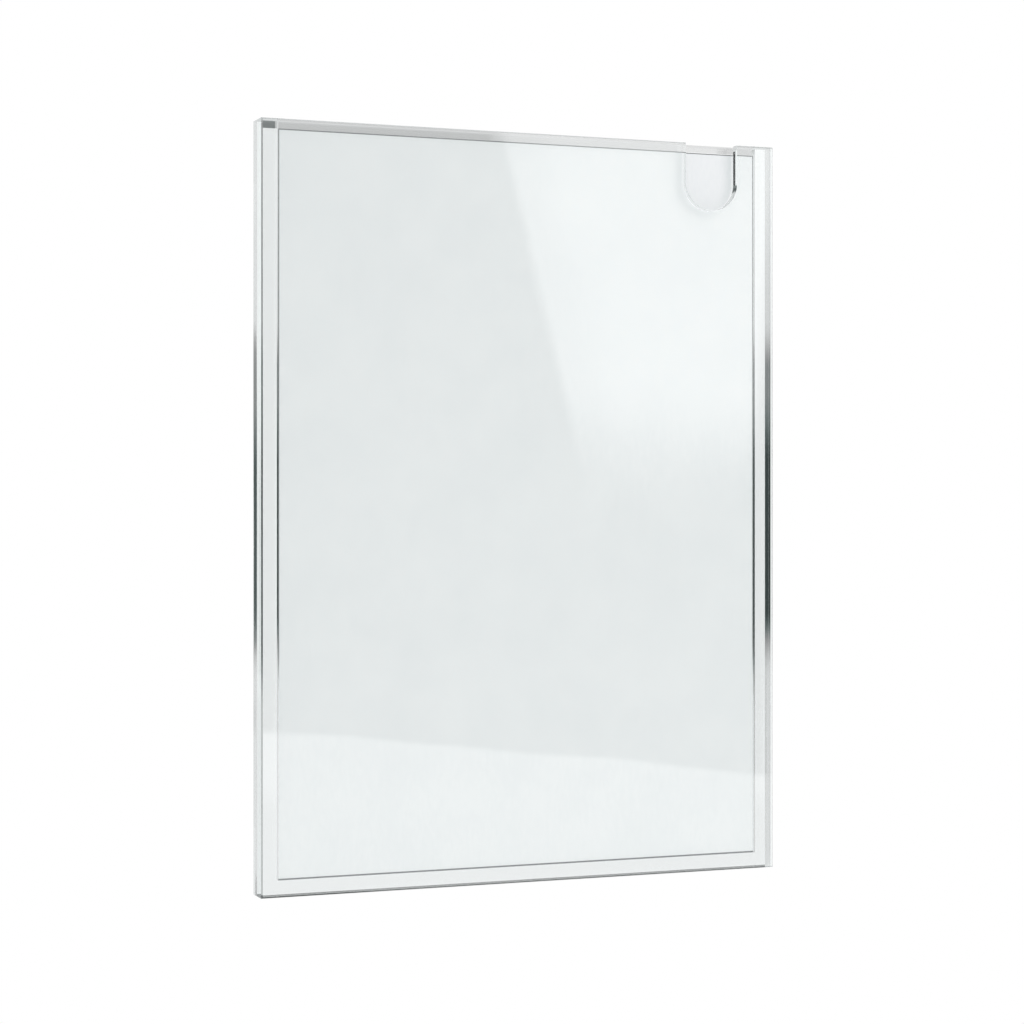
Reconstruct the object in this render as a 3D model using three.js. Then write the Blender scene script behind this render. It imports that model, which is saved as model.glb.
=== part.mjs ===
import * as THREE from "three";

// Wall document holder: two clear panels held apart by side and bottom strips, with a blank paper
// sheet in the slot between them and foam pads behind. Millimetres, +Z up, the front faces -Y,
// the wall is the plane y = 0 and the origin is at the middle of the height and width.

// Paper sheet, lying a little to the left in its pocket
const SHEET_W = 210;
const SHEET_H = 297;
const SHEET_T = 0.3;
const SHEET_LEFT_CLEARANCE = 0.2;
const SHEET_RIGHT_CLEARANCE = 0.4;
const SHEET_FRONT_CLEARANCE = 0.8;

// Panels and the strips between them
const FRONT_T = 3.7;
const BACK_T = 5.17;
const SLOT_T = 3;
const SIDE_STRIP_W = 7.5;
const BOTTOM_STRIP_H = 6.4;
const TOP_MARGIN = 3.6;
const BOND_T = 0.05;

// Bevel along the front panel's outline; the notch and all other edges are square
const FRONT_BEVEL = 0.5;

// Thumb notch in the front panel, measured from its right edge and its top edge
const NOTCH_W = 24;
const NOTCH_DEPTH = 28.2;
const NOTCH_CENTRE_INSET = 29.15;
const NOTCH_SEGMENTS = 96;

// Foam mounting pads, inset from the panel edges to their own edges
const PAD_W = 25;
const PAD_H = 60;
const PAD_T = 1;
const PAD_INSET_X = 30;
const PAD_INSET_Z = 28;

// Fits that follow from the sizes above
const POCKET_W = SHEET_LEFT_CLEARANCE + SHEET_W + SHEET_RIGHT_CLEARANCE;
const HOLDER_W = POCKET_W + 2 * SIDE_STRIP_W;
const HOLDER_H = BOTTOM_STRIP_H + SHEET_H + TOP_MARGIN;
const LEFT = -HOLDER_W / 2;
const RIGHT = HOLDER_W / 2;
const BOTTOM = -HOLDER_H / 2;
const TOP = HOLDER_H / 2;
const POCKET_LEFT = LEFT + SIDE_STRIP_W;
const POCKET_RIGHT = RIGHT - SIDE_STRIP_W;
const POCKET_FLOOR = BOTTOM + BOTTOM_STRIP_H;
const WALL_Y = 0;
const PAD_FRONT_Y = WALL_Y - PAD_T;
const BACK_REAR_Y = PAD_FRONT_Y - BOND_T;
const BACK_FRONT_Y = BACK_REAR_Y - BACK_T;
const STRIP_REAR_Y = BACK_FRONT_Y - BOND_T;
const FRONT_REAR_Y = BACK_FRONT_Y - SLOT_T;
const STRIP_FRONT_Y = FRONT_REAR_Y + BOND_T;
const FRONT_FRONT_Y = FRONT_REAR_Y - FRONT_T;
const SHEET_FRONT_Y = FRONT_REAR_Y + SHEET_FRONT_CLEARANCE;
const SHEET_REAR_Y = SHEET_FRONT_Y + SHEET_T;
const SHEET_LEFT = POCKET_LEFT + SHEET_LEFT_CLEARANCE;

const acrylic = {
  color: 0xe6eeee,
  roughness: 0.04,
  metalness: 0,
  transparent: true,
  opacity: 0.35,
};
const paper = {
  color: 0xf3f5f6,
  roughness: 0.85,
  metalness: 0,
};
const foam = {
  color: 0xe4e4e0,
  roughness: 0.95,
  metalness: 0,
};

const group = new THREE.Group();
group.name = "wall_document_holder";

// Each outline is a function that gives the points in X and Z, with the straight sides drawn in by
// inset
function rectangle(left, right, bottom, top) {
  return (inset) => [
    new THREE.Vector2(left + inset, bottom + inset),
    new THREE.Vector2(right - inset, bottom + inset),
    new THREE.Vector2(right - inset, top - inset),
    new THREE.Vector2(left + inset, top - inset),
  ];
}

// Front panel: a rectangle with a round-ended notch open at the top edge
function notchedRectangle(inset) {
  const centreX = RIGHT - NOTCH_CENTRE_INSET;
  const centreZ = TOP - NOTCH_DEPTH + NOTCH_W / 2;
  const radius = NOTCH_W / 2;
  const points = [
    new THREE.Vector2(LEFT + inset, BOTTOM + inset),
    new THREE.Vector2(RIGHT - inset, BOTTOM + inset),
    new THREE.Vector2(RIGHT - inset, TOP - inset),
    new THREE.Vector2(centreX + radius, TOP - inset),
  ];
  for (let i = 0; i <= NOTCH_SEGMENTS; i += 1) {
    const angle = (-Math.PI * i) / NOTCH_SEGMENTS;
    const x = centreX + radius * Math.cos(angle);
    const z = centreZ + radius * Math.sin(angle);
    points.push(new THREE.Vector2(x, z));
  }
  points.push(new THREE.Vector2(centreX - radius, TOP - inset));
  points.push(new THREE.Vector2(LEFT + inset, TOP - inset));
  return points;
}

// A flat solid between two depths, with its front edges bevelled where a bevel is given
function plate(name, outline, frontY, rearY, look, bevel = 0) {
  const levels = [{ y: frontY, points: outline(bevel) }];
  if (bevel > 0) {
    levels.push({ y: frontY + bevel, points: outline(0) });
  }
  levels.push({ y: rearY, points: outline(0) });
  const positions = [];
  for (const level of levels) {
    for (const point of level.points) {
      positions.push(point.x, level.y, point.y);
    }
  }
  const count = levels[0].points.length;
  const lastStart = (levels.length - 1) * count;
  const index = [];
  for (const [a, b, c] of THREE.ShapeUtils.triangulateShape(levels[0].points, [])) {
    index.push(a, b, c);
    index.push(lastStart + a, lastStart + c, lastStart + b);
  }
  for (let start = 0; start < lastStart; start += count) {
    for (let i = 0; i < count; i += 1) {
      const j = (i + 1) % count;
      const next = start + count;
      index.push(start + i, next + i, next + j);
      index.push(start + i, next + j, start + j);
    }
  }
  const shared = new THREE.BufferGeometry();
  shared.setAttribute("position", new THREE.Float32BufferAttribute(positions, 3));
  shared.setIndex(index);
  const geometry = shared.toNonIndexed();
  geometry.computeVertexNormals();
  const mesh = new THREE.Mesh(geometry, new THREE.MeshStandardMaterial(look));
  mesh.name = name;
  group.add(mesh);
}

const panel = rectangle(LEFT, RIGHT, BOTTOM, TOP);
plate("back_panel", panel, BACK_FRONT_Y, BACK_REAR_Y, acrylic);
plate("front_panel", notchedRectangle, FRONT_FRONT_Y, FRONT_REAR_Y, acrylic, FRONT_BEVEL);

const leftStrip = rectangle(LEFT, POCKET_LEFT, BOTTOM, TOP);
const rightStrip = rectangle(POCKET_RIGHT, RIGHT, BOTTOM, TOP);
const bottomStrip = rectangle(POCKET_LEFT + BOND_T, POCKET_RIGHT - BOND_T, BOTTOM, POCKET_FLOOR);
plate("spacer_left", leftStrip, STRIP_FRONT_Y, STRIP_REAR_Y, acrylic);
plate("spacer_right", rightStrip, STRIP_FRONT_Y, STRIP_REAR_Y, acrylic);
plate("spacer_bottom", bottomStrip, STRIP_FRONT_Y, STRIP_REAR_Y, acrylic);

const sheet = rectangle(SHEET_LEFT, SHEET_LEFT + SHEET_W, POCKET_FLOOR, POCKET_FLOOR + SHEET_H);
plate("insert_sheet", sheet, SHEET_FRONT_Y, SHEET_REAR_Y, paper);

function pad(name, left, bottom) {
  const outline = rectangle(left, left + PAD_W, bottom, bottom + PAD_H);
  plate(name, outline, PAD_FRONT_Y, WALL_Y, foam);
}

const padLeft = LEFT + PAD_INSET_X;
const padRight = RIGHT - PAD_INSET_X - PAD_W;
const padLow = BOTTOM + PAD_INSET_Z;
const padHigh = TOP - PAD_INSET_Z - PAD_H;
pad("mounting_pad_upper_left", padLeft, padHigh);
pad("mounting_pad_upper_right", padRight, padHigh);
pad("mounting_pad_lower_left", padLeft, padLow);
pad("mounting_pad_lower_right", padRight, padLow);

export default group;
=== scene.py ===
import math

import bmesh
import bpy
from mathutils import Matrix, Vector


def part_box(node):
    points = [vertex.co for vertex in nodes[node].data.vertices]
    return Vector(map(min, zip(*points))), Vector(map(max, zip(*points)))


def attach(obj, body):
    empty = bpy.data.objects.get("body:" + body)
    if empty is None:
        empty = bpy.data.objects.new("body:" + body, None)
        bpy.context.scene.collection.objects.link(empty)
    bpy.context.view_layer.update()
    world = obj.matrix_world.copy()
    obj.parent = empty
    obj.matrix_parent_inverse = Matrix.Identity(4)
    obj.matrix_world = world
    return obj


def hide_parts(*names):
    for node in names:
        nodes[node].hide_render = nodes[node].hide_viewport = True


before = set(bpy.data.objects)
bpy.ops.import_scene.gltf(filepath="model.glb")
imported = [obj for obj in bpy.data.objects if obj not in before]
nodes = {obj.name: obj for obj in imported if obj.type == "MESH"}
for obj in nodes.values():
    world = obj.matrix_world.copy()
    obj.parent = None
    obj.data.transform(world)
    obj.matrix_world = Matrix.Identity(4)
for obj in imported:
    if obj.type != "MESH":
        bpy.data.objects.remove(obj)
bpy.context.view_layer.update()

scene = bpy.context.scene

WHITE = (1.0, 1.0, 1.0, 1.0)

# Camera, level, to the left of the holder's middle
PICTURE_PX = 1024
YAW = math.radians(21.6102)
LENS_MM = 85.6034
SENSOR_MM = 36.0
SHIFT_PX = -13.416
CAMERA_AT = (-0.37349, -0.93801, 0.00370)
CLIP_START = 0.01
CLIP_END = 50.0


def make_camera():
    data = bpy.data.cameras.new("camera")
    data.lens = LENS_MM
    data.sensor_width = SENSOR_MM
    data.shift_y = SHIFT_PX / PICTURE_PX
    data.clip_start = CLIP_START
    data.clip_end = CLIP_END
    camera = bpy.data.objects.new("camera", data)
    camera.location = CAMERA_AT
    camera.rotation_euler = (math.pi / 2, 0.0, -YAW)
    scene.collection.objects.link(camera)
    scene.camera = camera


class Graph:
    """Short calls for building a node tree."""

    def __init__(self, tree):
        self.tree = tree
        tree.nodes.clear()

    def add(self, kind, inputs=(), **settings):
        node = self.tree.nodes.new(kind)
        for key, value in settings.items():
            setattr(node, key, value)
        for key, value in dict(inputs).items():
            self.put(node.inputs[key], value)
        return node

    def put(self, socket, value):
        if isinstance(value, bpy.types.NodeSocket):
            self.tree.links.new(value, socket)
        else:
            socket.default_value = value

    def split(self, vector):
        return self.add("ShaderNodeSeparateXYZ", {0: vector}).outputs

    def math(self, operation, *values):
        node = self.add("ShaderNodeMath", dict(enumerate(values)), operation=operation)
        return node.outputs[0]

    def product(self, first, *others):
        for other in others:
            first = self.math("MULTIPLY", first, other)
        return first

    def smooth(self, value, start, end):
        """0 at start, 1 at end; start may be the larger."""
        node = self.add(
            "ShaderNodeMapRange",
            {"Value": value, "From Min": start, "From Max": end},
            interpolation_type="SMOOTHSTEP",
        )
        return node.outputs["Result"]

    def window(self, value, left, right, fade):
        """1 from left to right, fading to 0 outside."""
        rise = self.smooth(value, left - fade, left)
        return self.product(rise, self.smooth(value, right + fade, right))

    def ramp(self, value, low, high, start, end):
        """low at start, high at end."""
        node = self.add(
            "ShaderNodeMapRange",
            {"Value": value, "From Min": start, "From Max": end, "To Min": low, "To Max": high},
        )
        return node.outputs["Result"]

    def mix(self, factor, a, b):
        """a where factor is 0, b where it is 1."""
        node = self.add("ShaderNodeMix", {0: factor, 2: a, 3: b}, data_type="FLOAT")
        return node.outputs[0]

    def mix_colour(self, factor, a, b):
        node = self.add("ShaderNodeMix", {0: factor, 6: a, 7: b}, data_type="RGBA")
        return node.outputs[2]

    def mix_shader(self, factor, a, b):
        return self.add("ShaderNodeMixShader", {0: factor, 1: a.outputs[0], 2: b.outputs[0]})

    def noise(self, position, scale, detail):
        node = self.add(
            "ShaderNodeTexNoise", {"Vector": position, "Scale": scale, "Detail": detail}
        )
        return node.outputs["Fac"]

    def bump(self, height, strength, distance):
        node = self.add(
            "ShaderNodeBump", {"Strength": strength, "Distance": distance, "Height": height}
        )
        return node.outputs["Normal"]


def new_material(name):
    material = bpy.data.materials.new(name)
    material.use_nodes = True
    return material, Graph(material.node_tree)


def show(g, shader):
    g.add("ShaderNodeOutputMaterial", {"Surface": shader.outputs[0]})


# Clear acrylic with a tint of its own on faces and edges, painted shade on the bevels (a dark tint
# that draws thin dark lines along them), and a tint for the light that passes to matt things. The
# sides of the front panel and of the left strip are ground fine.
ACRYLIC_IOR = 1.49
FACE_TINT = (0.985, 0.995, 0.995, 1.0)
EDGE_TINT = (0.955, 0.985, 0.985, 1.0)
BEVEL_PAINTED_SHADE = (0.46, 0.48, 0.48, 1.0)
FACE_LIGHT = (0.987, 0.992, 0.985, 1.0)
EDGE_LIGHT = (0.70, 0.73, 0.73, 1.0)
GROUND_TINT = (0.93, 0.95, 0.95, 1.0)
GROUND_PART = 0.93
# How far a surface looks to the front or back: from a face to an edge, and at a bevel
EDGE_SLOPE = (0.9, 0.3)
BEVEL_SLOPE = (0.6, 0.8)
# How far an upright side looks to the left or right
SIDE_SLOPE = 0.9
SIDE_SLACK = 0.0001
JOINT_SLACK = 0.0002
WAVE_SCALE = 14.0
WAVE_DETAIL = 1.0
WAVE_STRENGTH = 0.02
WAVE_DEPTH = 0.002


def acrylic_material():
    material, g = new_material("clear_acrylic")
    position = g.add("ShaderNodeTexCoord").outputs["Object"]
    normal = g.add("ShaderNodeNewGeometry").outputs["Normal"]
    x, y, z = g.split(position)
    normal_x, normal_y, _ = g.split(normal)
    across = g.math("ABSOLUTE", x)
    slope = g.math("ABSOLUTE", normal_y)
    on_edge = g.smooth(slope, *EDGE_SLOPE)
    bevel_low, bevel_high = BEVEL_SLOPE
    on_bevel = g.product(
        g.math("GREATER_THAN", slope, bevel_low), g.math("LESS_THAN", slope, bevel_high)
    )
    tint = g.mix_colour(on_edge, FACE_TINT, EDGE_TINT)
    # Painted shade: the bevel faces are darkened so that they show as thin dark lines along the
    # arrises
    tint = g.mix_colour(on_bevel, tint, BEVEL_PAINTED_SHADE)
    waves = g.noise(position, WAVE_SCALE, WAVE_DETAIL)
    polished = g.add(
        "ShaderNodeBsdfPrincipled",
        {
            "Base Color": tint,
            "Roughness": 0.0,
            "IOR": ACRYLIC_IOR,
            "Transmission Weight": 1.0,
            "Normal": g.bump(waves, WAVE_STRENGTH, WAVE_DEPTH),
        },
    )

    # Ground sides: most light goes straight on
    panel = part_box("front_panel")[1]
    strip_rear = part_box("spacer_left")[1].y
    on_side = g.math("GREATER_THAN", g.math("ABSOLUTE", normal_x), SIDE_SLOPE)
    outermost = g.math("GREATER_THAN", across, panel.x - SIDE_SLACK)
    ground_rear = g.mix(g.math("LESS_THAN", x, 0.0), panel.y, strip_rear)
    ground = g.product(on_side, outermost, g.math("LESS_THAN", y, ground_rear))
    haze = g.add("ShaderNodeBsdfTransparent", {"Color": GROUND_TINT})
    surface = g.mix_shader(g.product(ground, GROUND_PART), polished, haze)

    # Light on its way to matt things passes unbent
    passing = g.mix_colour(on_edge, FACE_LIGHT, EDGE_LIGHT)
    clear = g.add("ShaderNodeBsdfTransparent", {"Color": passing})
    path = g.add("ShaderNodeLightPath").outputs
    surface = g.mix_shader(path["Is Diffuse Ray"], surface, clear)
    surface = g.mix_shader(path["Is Shadow Ray"], surface, clear)

    # The bottom strip's ends are cemented to the side strips, so nothing is seen at the joint
    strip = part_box("spacer_bottom")[1]
    inside = g.math("LESS_THAN", across, strip.x + JOINT_SLACK)
    joint = g.product(on_side, inside, g.math("LESS_THAN", z, strip.z))
    surface = g.mix_shader(joint, surface, g.add("ShaderNodeBsdfTransparent"))
    show(g, surface)
    return material


# The stretch of a noise texture that holds most of its values
NOISE_RANGE = (0.3, 0.7)

# Matt white paper, with a painted grey line of shade along its borders, standing for the contact
# shadow against the pocket's walls and floor and the dark reflection in those walls; at the sides
# it ends low down
PAPER_LIGHT = (0.945, 0.963, 0.976, 1.0)
PAPER_DARK = (0.905, 0.928, 0.945, 1.0)
PAPER_ROUGHNESS = (0.78, 0.92)
PAPER_SPECULAR = 0.2
FIBRE_STRETCH = (1.0, 1.0, 0.35)
FIBRE_SCALE = 900.0
FIBRE_DETAIL = 4.0
FIBRE_STRENGTH = 0.12
FIBRE_DEPTH = 0.00005
PAPER_CLOUD_SCALE = 45.0
PAPER_CLOUD_DETAIL = 3.0
PAINTED_EDGE_SHADE = (0.25, 0.26, 0.27, 1.0)
EDGE_SHADE_WIDTH = 0.0003
EDGE_SHADE_FADE = 0.0002
EDGE_SHADE_LOWER_EXTRA = 0.00015
EDGE_SHADE_SIDE_FADE = (-0.075, -0.055)


def paper_material():
    material, g = new_material("paper")
    position = g.add("ShaderNodeTexCoord").outputs["Object"]
    along = g.add("ShaderNodeMapping", {"Vector": position, "Scale": FIBRE_STRETCH})
    fibres = g.noise(along.outputs[0], FIBRE_SCALE, FIBRE_DETAIL)
    clouds = g.noise(position, PAPER_CLOUD_SCALE, PAPER_CLOUD_DETAIL)
    shade = g.mix(0.5, fibres, clouds)
    colour = g.mix_colour(g.smooth(shade, *NOISE_RANGE), PAPER_DARK, PAPER_LIGHT)

    def edge_shade_lines(value, start, end):
        return g.math(
            "MAXIMUM",
            g.smooth(value, start + EDGE_SHADE_WIDTH + EDGE_SHADE_FADE, start + EDGE_SHADE_WIDTH),
            g.smooth(value, end - EDGE_SHADE_WIDTH - EDGE_SHADE_FADE, end - EDGE_SHADE_WIDTH),
        )

    low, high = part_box("insert_sheet")
    x, _, z = g.split(position)
    # Painted shade: a dark line along the sheet's top, bottom and sides, with the side lines
    # fading out low down
    upright = g.product(edge_shade_lines(x, low.x, high.x), g.smooth(z, *EDGE_SHADE_SIDE_FADE))
    painted_shade = g.math("MAXIMUM", edge_shade_lines(z, low.z + EDGE_SHADE_LOWER_EXTRA, high.z), upright)
    sheet = g.add(
        "ShaderNodeBsdfPrincipled",
        {
            "Base Color": g.mix_colour(painted_shade, colour, PAINTED_EDGE_SHADE),
            "Roughness": g.ramp(fibres, *PAPER_ROUGHNESS, *NOISE_RANGE),
            "Specular IOR Level": PAPER_SPECULAR,
            "Normal": g.bump(fibres, FIBRE_STRENGTH, FIBRE_DEPTH),
        },
    )
    show(g, sheet)
    return material


# Closed-cell foam
FOAM_LIGHT = (0.80, 0.80, 0.77, 1.0)
FOAM_DARK = (0.60, 0.60, 0.57, 1.0)
FOAM_ROUGHNESS = (0.85, 0.98)
FOAM_SPECULAR = 0.25
CELL_SCALE = 1400.0
CELL_RANGE = (0.25, 0.75)
CELL_STRENGTH = 0.5
CELL_DEPTH = 0.0002
FOAM_CLOUD_SCALE = 120.0
FOAM_CLOUD_DETAIL = 3.0
FOAM_CLOUD_PART = 0.3


def foam_material():
    material, g = new_material("foam")
    position = g.add("ShaderNodeTexCoord").outputs["Object"]
    voronoi = g.add("ShaderNodeTexVoronoi", {"Vector": position, "Scale": CELL_SCALE})
    cells = voronoi.outputs["Distance"]
    clouds = g.noise(position, FOAM_CLOUD_SCALE, FOAM_CLOUD_DETAIL)
    shade = g.mix(FOAM_CLOUD_PART, g.smooth(cells, *CELL_RANGE), clouds)
    foam = g.add(
        "ShaderNodeBsdfPrincipled",
        {
            "Base Color": g.mix_colour(shade, FOAM_DARK, FOAM_LIGHT),
            "Roughness": g.ramp(clouds, *FOAM_ROUGHNESS, *NOISE_RANGE),
            "Specular IOR Level": FOAM_SPECULAR,
            "Normal": g.bump(cells, CELL_STRENGTH, CELL_DEPTH),
        },
    )
    show(g, foam)
    return material


def dress(names, material):
    for name in names:
        mesh = nodes[name].data
        mesh.materials.clear()
        mesh.materials.append(material)


# Foam pads, pressed a little narrower at mid-thickness than at their two faces
PAD_WAIST = 0.0003
PAD_CORNER = 0.002
PAD_CORNER_STEPS = 6
PAD_LEVELS = 9


def rounded_outline(low, high, corner, inset):
    points = []
    middles = (
        (high.x - corner, high.z - corner, 0.0),
        (low.x + corner, high.z - corner, 0.5 * math.pi),
        (low.x + corner, low.z + corner, math.pi),
        (high.x - corner, low.z + corner, 1.5 * math.pi),
    )
    reach = corner - inset
    for x, z, start in middles:
        for i in range(PAD_CORNER_STEPS + 1):
            angle = start + 0.5 * math.pi * i / PAD_CORNER_STEPS
            points.append((x + reach * math.cos(angle), z + reach * math.sin(angle)))
    return points


def make_pad(node, material):
    low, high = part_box(node)
    bm = bmesh.new()
    rings = []
    for level in range(PAD_LEVELS):
        t = level / (PAD_LEVELS - 1)
        inset = PAD_WAIST * (1.0 - (2.0 * t - 1.0) ** 2)
        y = low.y + (high.y - low.y) * t
        outline = rounded_outline(low, high, PAD_CORNER, inset)
        rings.append([bm.verts.new((x, y, z)) for x, z in outline])
    count = len(rings[0])
    for lower, upper in zip(rings, rings[1:]):
        for i in range(count):
            j = (i + 1) % count
            bm.faces.new((lower[i], lower[j], upper[j], upper[i]))
    bm.faces.new(rings[0])
    bm.faces.new(rings[-1])
    bmesh.ops.recalc_face_normals(bm, faces=bm.faces)
    mesh = bpy.data.meshes.new(node + "_foam")
    bm.to_mesh(mesh)
    bm.free()
    mesh.materials.append(material)
    piece = bpy.data.objects.new(node + "_foam", mesh)
    scene.collection.objects.link(piece)
    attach(piece, "holder")
    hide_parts(node)


# Studio that the clear pieces show. Heights are degrees above level, and turns are degrees to the
# right of straight ahead of the holder's front or back. Climb is rise over run towards the back.
# A pair is where a change starts and where it is full. A zone is its left end, right end and fade.
DEGREES = 180 / math.pi
ROOM_LIGHT = 0.40
ROOM_DARK = 0.06
REARWARD_LEAST = 0.3

# Side walls: pale floor, dark band at eye level, pale above; steps are start, full and glow
WALL_FLOOR_STEP = (-2.6, -4.2, 0.66)
WALL_STEPS = ((0.8, 2.6, 0.19), (3.0, 4.2, 0.43), (4.2, 8.0, 0.12))
WALL_DIP = 0.9
WALL_DIP_TURN = (8.0, 24.0)

# In front, to the right: a tall soft-edged lamp whose sides lean, and the pale floor below it.
# Deeper layers of the holder show them more faintly.
LAMP_ZONE = (15.0, 33.0, 0.5)
LAMP_GLOW = 1.6
LAMP_LEFT_LEAN = 0.236
LAMP_LEFT_STEPS = ((23.2, 23.6, 0.75), (23.6, 25.0, 0.25))
LAMP_RIGHT_LEAN = -0.095
LAMP_RIGHT_EDGE = (27.45, 26.8)
LAMP_FOOT = (-0.4, 2.9)
FRONT_FLOOR_GLOW = 0.95
FRONT_FLOOR_FALL = 0.0872
FRONT_FLOOR_EDGE = (-3.91, -4.11)
DEEP_LAYER = 2.5
DEEP_PART = 0.35

# Other parts that reflections and guided light show
BEHIND_ZONE = (0.0, 22.0, 2.0)
BEHIND_GLOW = 0.75
VEIL_ZONE = (12.0, 18.0, 2.0)
VEIL_GLOW = 0.09
UPPER_HALF = (3.0, 4.0)
DIM_BACK_ZONE = (32.0, 60.0, 2.0)
DIM_FRONT_ZONE = (55.8, 62.0, 0.4)
DIM_GLOW = 0.0
BRIGHT_ZONE = (47.0, 55.0, 0.4)
BRIGHT_GLOW = 1.0
ROOF_ZONE = (10.0, 34.0, 2.0)
ROOF_CLIMB = (0.155, 0.162)
ROOF_GLOW = 0.3

# Straight through: the pale backdrop, a grey wall above its top edge, then the dark ceiling
BACKDROP_GLOW = 1.0
BACKDROP_FOOT = (-6.5, -7.5)
BACKDROP_FOOT_LOSS = 0.065
BACKDROP_TOP = 0.1575
BACKDROP_TOP_END = 27.25
ABOVE_BACKDROP = 0.62
ABOVE_PALE = 0.72
ABOVE_PALE_ZONE = (21.3, 26.3, 0.3)
ABOVE_DARK = 0.26
ABOVE_DARK_END = 16.05
CEILING_CLIMB = (0.27, 0.32)
CEILING_GLOW = 0.05
CORNER_ZONE = (39.8, 41.2, 0.3)
CORNER_RISE = (-2.0, 0.0)
CORNER_PART = 0.5

# The darkest parts are tinted a little green
DARK_TINT = (0.80, 1.0, 0.98, 1.0)
DARK_TINT_RANGE = (0.35, ROOM_DARK)


class Ray:
    """Where a ray that reaches the studio is heading, and how it came, as sockets."""

    def __init__(self, g):
        direction = g.add("ShaderNodeTexCoord").outputs["Generated"]
        x, y, z = g.split(direction)
        forward = g.math("MULTIPLY", y, -1.0)
        self.height = g.product(g.math("ARCSINE", z), DEGREES)
        self.from_front = g.product(g.math("ARCTAN2", x, forward), DEGREES)
        self.from_back = g.product(g.math("ARCTAN2", x, y), DEGREES)
        rearward = g.math("GREATER_THAN", y, REARWARD_LEAST)
        run = g.math("MAXIMUM", y, REARWARD_LEAST)
        self.climb = g.product(rearward, g.math("DIVIDE", z, run))

        path = g.add("ShaderNodeLightPath").outputs
        self.from_camera = path["Is Camera Ray"]
        self.polished = g.math("MAXIMUM", path["Is Glossy Ray"], path["Is Transmission Ray"])
        # Counts of reflections and refractions are whole, so limits lie halfway between
        self.straight = g.math("LESS_THAN", path["Glossy Depth"], 0.5)
        self.at_most_once = g.math("LESS_THAN", path["Glossy Depth"], 1.5)
        layers = path["Transmission Depth"]
        self.deep = g.math("GREATER_THAN", layers, DEEP_LAYER)
        # A ground side passes light uncounted, so an odd count tells that the ray crossed one
        self.through_side = g.math("GREATER_THAN", g.math("MODULO", layers, 2.0), 0.5)


def add_steps(g, glow, value, steps):
    for start, end, step in steps:
        glow = g.math("MULTIPLY_ADD", g.smooth(value, start, end), step, glow)
    return glow


def side_walls(g, ray):
    dip = g.smooth(ray.from_back, *WALL_DIP_TURN)
    dipped = g.math("MULTIPLY_ADD", dip, WALL_DIP, ray.height)
    walls = add_steps(g, ROOM_DARK, dipped, (WALL_FLOOR_STEP,))
    return add_steps(g, walls, ray.height, WALL_STEPS)


def front_lamp_and_floor(g, ray):
    left = g.math("MULTIPLY_ADD", ray.height, LAMP_LEFT_LEAN, ray.from_front)
    right = g.math("MULTIPLY_ADD", ray.height, LAMP_RIGHT_LEAN, ray.from_front)
    lamp = g.product(
        add_steps(g, 0.0, left, LAMP_LEFT_STEPS),
        g.smooth(right, *LAMP_RIGHT_EDGE),
        g.smooth(ray.height, *LAMP_FOOT),
        LAMP_GLOW,
    )
    falling = g.math("MULTIPLY_ADD", ray.from_front, FRONT_FLOOR_FALL, ray.height)
    floor = g.product(g.smooth(falling, *FRONT_FLOOR_EDGE), FRONT_FLOOR_GLOW)
    front = g.math("ADD", g.math("ADD", lamp, floor), ROOM_DARK)
    return g.product(front, g.mix(ray.deep, 1.0, DEEP_PART))


def reflected_studio(g, ray, walls):
    behind = g.window(ray.from_back, *BEHIND_ZONE)
    veil = g.product(g.window(ray.from_front, *VEIL_ZONE), VEIL_GLOW)
    studio = g.math("ADD", g.mix(behind, walls, BEHIND_GLOW), veil)
    upper = g.smooth(ray.height, *UPPER_HALF)
    dim = g.math(
        "MAXIMUM",
        g.window(ray.from_back, *DIM_BACK_ZONE),
        g.window(ray.from_front, *DIM_FRONT_ZONE),
    )
    studio = g.mix(g.product(dim, upper), studio, DIM_GLOW)
    bright = g.window(ray.from_front, *BRIGHT_ZONE)
    studio = g.mix(g.product(bright, upper), studio, BRIGHT_GLOW)
    roof = g.product(g.window(ray.from_back, *ROOF_ZONE), g.smooth(ray.climb, *ROOF_CLIMB))
    studio = g.mix(roof, studio, ROOF_GLOW)
    ahead = g.product(g.window(ray.from_front, *LAMP_ZONE), ray.at_most_once)
    return g.mix(ahead, studio, front_lamp_and_floor(g, ray))


def straight_view(g, ray, walls):
    wall = g.mix(g.window(ray.from_back, *ABOVE_PALE_ZONE), ABOVE_BACKDROP, ABOVE_PALE)
    wall = g.mix(g.math("LESS_THAN", ray.from_back, ABOVE_DARK_END), wall, ABOVE_DARK)
    # Light that came in through a ground side is scattered, so it shows no edge at the top
    above = g.product(
        g.math("GREATER_THAN", ray.climb, BACKDROP_TOP),
        g.math("LESS_THAN", ray.from_back, BACKDROP_TOP_END),
        g.math("SUBTRACT", 1.0, ray.through_side),
    )
    foot_loss = g.product(g.smooth(ray.height, *BACKDROP_FOOT), BACKDROP_FOOT_LOSS)
    backdrop = g.math("SUBTRACT", BACKDROP_GLOW, foot_loss)
    view = g.mix(above, backdrop, wall)
    view = g.mix(g.smooth(ray.climb, *CEILING_CLIMB), view, CEILING_GLOW)
    corner = g.product(walls, g.mix(g.smooth(ray.height, *CORNER_RISE), 1.0, CORNER_PART))
    return g.mix(g.window(ray.from_back, *CORNER_ZONE), view, corner)


def make_world():
    world = bpy.data.worlds.new("studio")
    scene.world = world
    world.use_nodes = True
    g = Graph(world.node_tree)
    ray = Ray(g)
    walls = side_walls(g, ray)
    seen = g.mix(ray.straight, reflected_studio(g, ray, walls), straight_view(g, ray, walls))
    strength = g.mix(ray.polished, ROOM_LIGHT, seen)
    strength = g.mix(ray.from_camera, strength, 1.0)
    colour = g.mix_colour(g.smooth(strength, *DARK_TINT_RANGE), WHITE, DARK_TINT)
    background = g.add("ShaderNodeBackground", {"Color": colour, "Strength": strength})
    g.add("ShaderNodeOutputWorld", {"Surface": background.outputs[0]})


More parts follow.
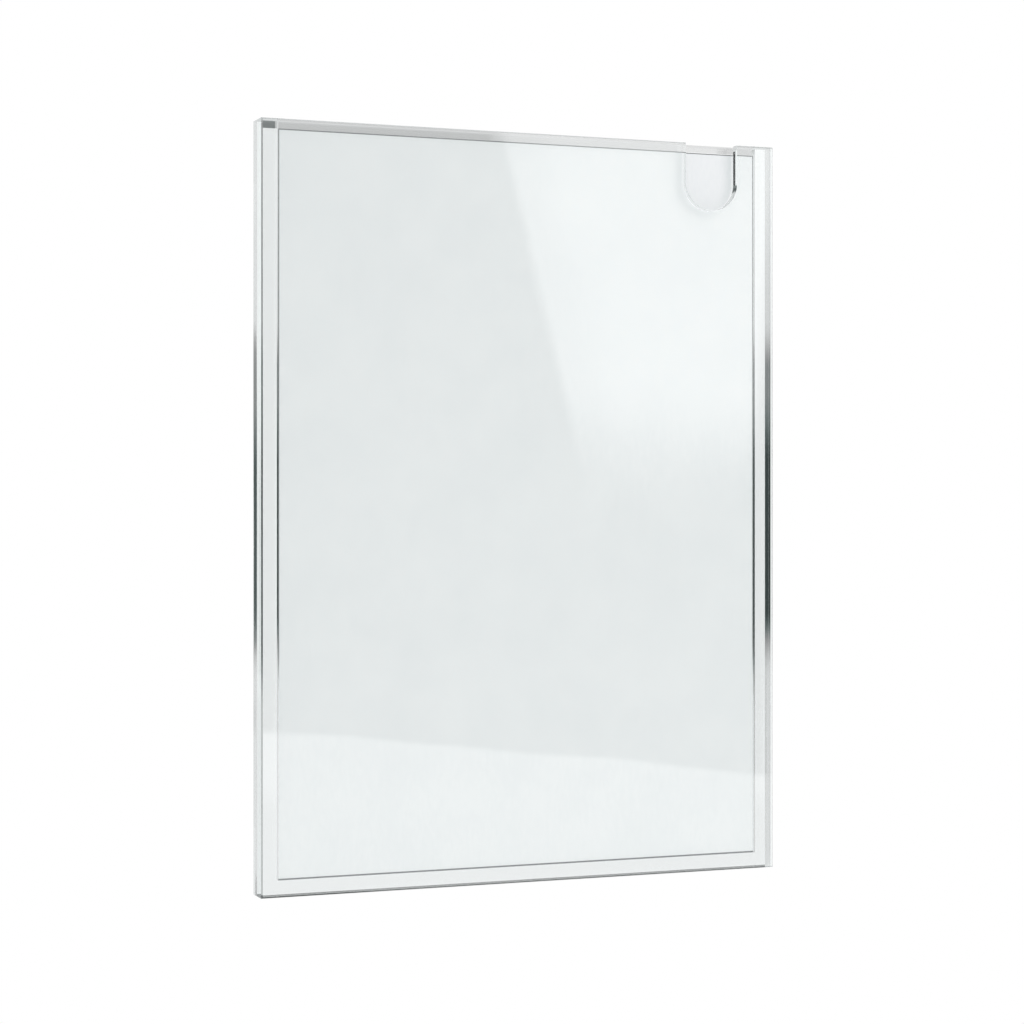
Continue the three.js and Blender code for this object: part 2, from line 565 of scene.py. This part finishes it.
def add_lamp(name, turn, rise, distance, width, tall, watts):
    """An area lamp aimed at the holder; turn is degrees to the right of straight ahead of it."""
    data = bpy.data.lights.new(name, "AREA")
    data.shape = "RECTANGLE"
    data.size = width
    data.size_y = tall
    data.energy = watts
    lamp = bpy.data.objects.new(name, data)
    a, e = math.radians(turn), math.radians(rise)
    place = Vector((math.sin(a) * math.cos(e), -math.cos(a) * math.cos(e), math.sin(e)))
    lamp.location = place * distance
    lamp.rotation_euler = place.to_track_quat("Z", "Y").to_euler()
    lamp.visible_camera = False
    lamp.visible_glossy = False
    lamp.visible_transmission = False
    scene.collection.objects.link(lamp)


# Pale floor, well below the holder, fading into the white background at its rim
FLOOR_Z = -0.75
FLOOR_RADIUS = 2.0
FLOOR_SIDES = 96
FLOOR_FADE = (1.0, 1.9)
FLOOR_COLOUR = (0.80, 0.80, 0.80, 1.0)
FLOOR_GLOW = 0.35


def floor_material():
    material, g = new_material("floor")
    diffuse = g.add("ShaderNodeBsdfDiffuse", {"Color": FLOOR_COLOUR})
    glow = g.add("ShaderNodeEmission", {"Color": WHITE, "Strength": FLOOR_GLOW})
    pale = g.add("ShaderNodeAddShader", {0: diffuse.outputs[0], 1: glow.outputs[0]})
    position = g.add("ShaderNodeTexCoord").outputs["Object"]
    out = g.add("ShaderNodeVectorMath", {0: position}, operation="LENGTH").outputs["Value"]
    rim = g.add("ShaderNodeEmission", {"Color": WHITE})
    show(g, g.mix_shader(g.smooth(out, *FLOOR_FADE), pale, rim))
    return material


def make_floor():
    bm = bmesh.new()
    bmesh.ops.create_circle(bm, cap_ends=True, segments=FLOOR_SIDES, radius=FLOOR_RADIUS)
    mesh = bpy.data.meshes.new("floor")
    bm.to_mesh(mesh)
    bm.free()
    mesh.materials.append(floor_material())
    floor = bpy.data.objects.new("floor", mesh)
    floor.location = (0.0, 0.0, FLOOR_Z)
    floor.visible_glossy = False
    floor.visible_transmission = False
    scene.collection.objects.link(floor)


ACRYLIC_NODES = ("back_panel", "front_panel", "spacer_left", "spacer_right", "spacer_bottom")
PAD_NODES = (
    "mounting_pad_upper_left",
    "mounting_pad_upper_right",
    "mounting_pad_lower_left",
    "mounting_pad_lower_right",
)
BOUNCES = 96

make_camera()
dress(ACRYLIC_NODES, acrylic_material())
dress(("insert_sheet",), paper_material())
foam = foam_material()
for pad_node in PAD_NODES:
    make_pad(pad_node, foam)
make_world()
make_floor()
add_lamp("key", turn=38.0, rise=28.0, distance=4.8, width=3.0, tall=3.8, watts=144.0)
add_lamp("rear_fill", turn=200.0, rise=30.0, distance=1.7, width=1.4, tall=1.4, watts=14.0)

scene.cycles.max_bounces = BOUNCES
scene.cycles.transmission_bounces = BOUNCES
scene.cycles.glossy_bounces = BOUNCES
scene.cycles.transparent_max_bounces = BOUNCES
scene.view_settings.view_transform = "Standard"
